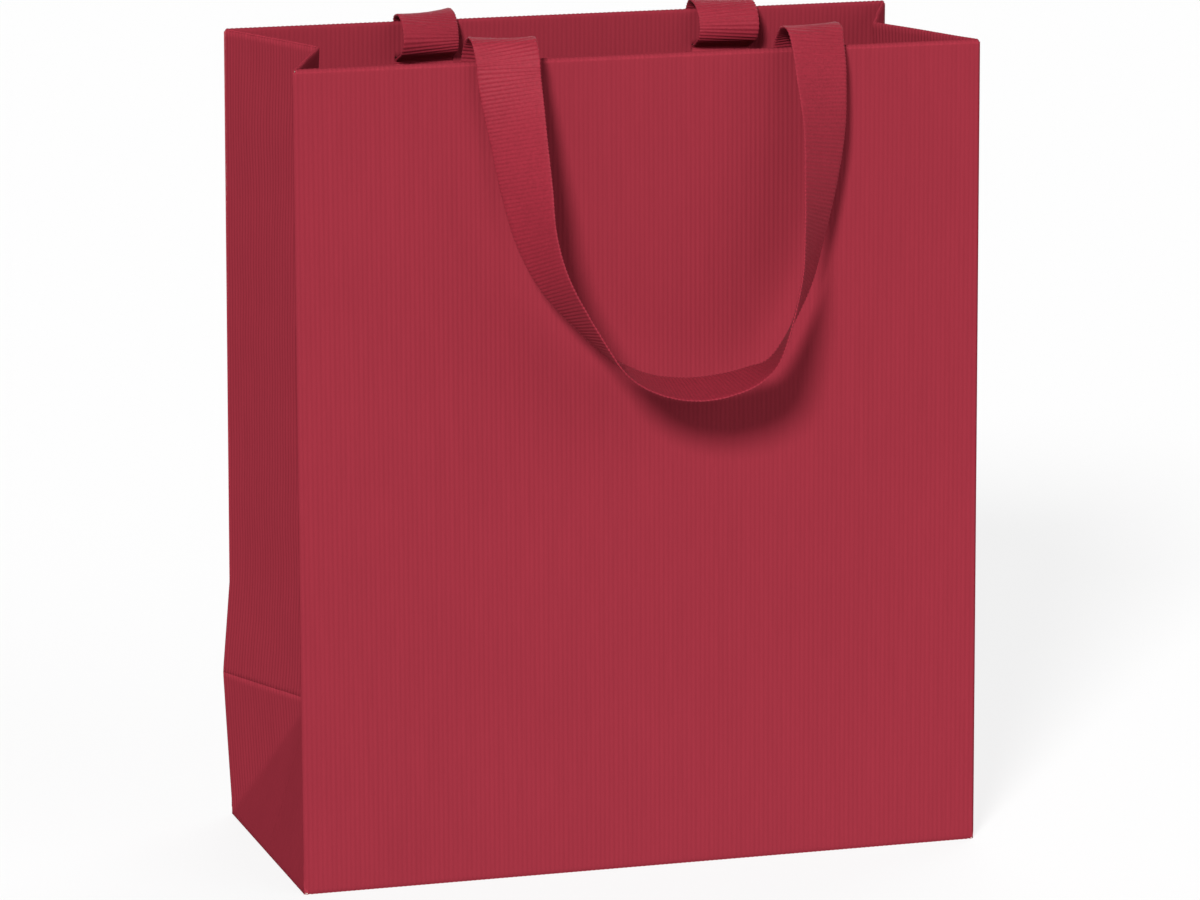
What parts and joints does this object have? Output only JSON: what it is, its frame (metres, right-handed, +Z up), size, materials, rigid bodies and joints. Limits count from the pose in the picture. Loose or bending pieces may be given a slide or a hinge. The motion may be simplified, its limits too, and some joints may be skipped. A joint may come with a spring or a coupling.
{
  "type": "gift bag",
  "caption": "Small upright paper gift bag with turned-in rim, folded side gussets, flat base and ribbon loop handles hanging over front and back.",
  "frame": {"origin": "middle of the base, on the surface the bag stands on", "axes": "+X to the bag's right as seen from the front, +Y from front to back, +Z up"},
  "size_m": [0.18, 0.132, 0.2159],
  "materials": {
    "wine_paper": "ribbed matt paper",
    "paper_inside": "ribbed matt paper, turned-in hem",
    "grey_card": "plain grey board",
    "ribbon": "ribbed grosgrain ribbon"
  },
  "bodies": {
    "base": {"bottom_flap_front": "wine_paper", "bottom_flap_rear": "wine_paper", "bottom_flap_left": "wine_paper", "bottom_flap_right": "wine_paper", "base_board": "grey_card", "left_gusset_foot": "wine_paper", "right_gusset_foot": "wine_paper"},
    "front_wall": {"front_panel": "wine_paper", "front_hem": "paper_inside", "front_hem_card": "grey_card", "front_handle_tail_left": "ribbon", "front_handle_tail_right": "ribbon", "front_handle_bend_left": "ribbon", "front_handle_bend_right": "ribbon"},
    "back_wall": {"back_panel": "wine_paper", "back_hem": "paper_inside", "back_hem_card": "grey_card", "back_handle_tail_left": "ribbon", "back_handle_tail_right": "ribbon", "back_handle_bend_left": "ribbon", "back_handle_bend_right": "ribbon", "side_seam_tab": "wine_paper"},
    "front_handle": {"front_handle_loop": "ribbon"},
    "back_handle": {"back_handle_loop": "ribbon"},
    "left_gusset_front": {"left_gusset_front_panel": "wine_paper", "left_gusset_front_hem": "paper_inside"},
    "left_gusset_rear": {"left_gusset_rear_panel": "wine_paper", "left_gusset_rear_hem": "paper_inside"},
    "right_gusset_front": {"right_gusset_front_panel": "wine_paper", "right_gusset_front_hem": "paper_inside"},
    "right_gusset_rear": {"right_gusset_rear_panel": "wine_paper", "right_gusset_rear_hem": "paper_inside"}
  },
  "joints": [
    {"name": "mouth_pinch_front", "type": "hinge", "parent": "base", "child": "front_wall", "pos_m": [0, -0.04, 0], "axis": [-1, 0, 0], "range_deg": [0, 5]},
    {"name": "mouth_pinch_back", "type": "hinge", "parent": "base", "child": "back_wall", "pos_m": [0, 0.04, 0], "axis": [1, 0, 0], "range_deg": [0, 5]},
    {"name": "front_handle_swing", "type": "hinge", "parent": "front_wall", "child": "front_handle", "pos_m": [0, -0.0371, 0.20798], "axis": [-1, 0, 0], "range_deg": [0, 160], "deforming": ["front_handle_bend_left", "front_handle_bend_right"]},
    {"name": "back_handle_swing", "type": "hinge", "parent": "back_wall", "child": "back_handle", "pos_m": [0, 0.0371, 0.20798], "axis": [1, 0, 0], "range_deg": [0, 160], "deforming": ["back_handle_bend_left", "back_handle_bend_right"]},
    {"name": "left_gusset_fold_front", "type": "hinge", "parent": "front_wall", "child": "left_gusset_front", "pos_m": [-0.08935, -0.04, 0], "axis": [0, -0.014, -0.9999], "range_deg": [0, 39.81]},
    {"name": "left_gusset_fold_rear", "type": "hinge", "parent": "back_wall", "child": "left_gusset_rear", "pos_m": [-0.08935, 0.04, 0], "axis": [0, -0.014, 0.9999], "range_deg": [0, 39.81]},
    {"name": "right_gusset_fold_front", "type": "hinge", "parent": "front_wall", "child": "right_gusset_front", "pos_m": [0.08935, -0.04, 0], "axis": [0, 0.014, 0.9999], "range_deg": [0, 39.81]},
    {"name": "right_gusset_fold_rear", "type": "hinge", "parent": "back_wall", "child": "right_gusset_rear", "pos_m": [0.08935, 0.04, 0], "axis": [0, 0.014, -0.9999], "range_deg": [0, 39.81]}
  ],
  "couplings": [
    {"joint": "mouth_pinch_back", "follows": "mouth_pinch_front", "ratio": 1},
    {"joint": "left_gusset_fold_front", "follows": "mouth_pinch_front", "ratio": 7.96},
    {"joint": "left_gusset_fold_rear", "follows": "mouth_pinch_front", "ratio": 7.96},
    {"joint": "right_gusset_fold_front", "follows": "mouth_pinch_front", "ratio": 7.96},
    {"joint": "right_gusset_fold_rear", "follows": "mouth_pinch_front", "ratio": 7.96}
  ]
}
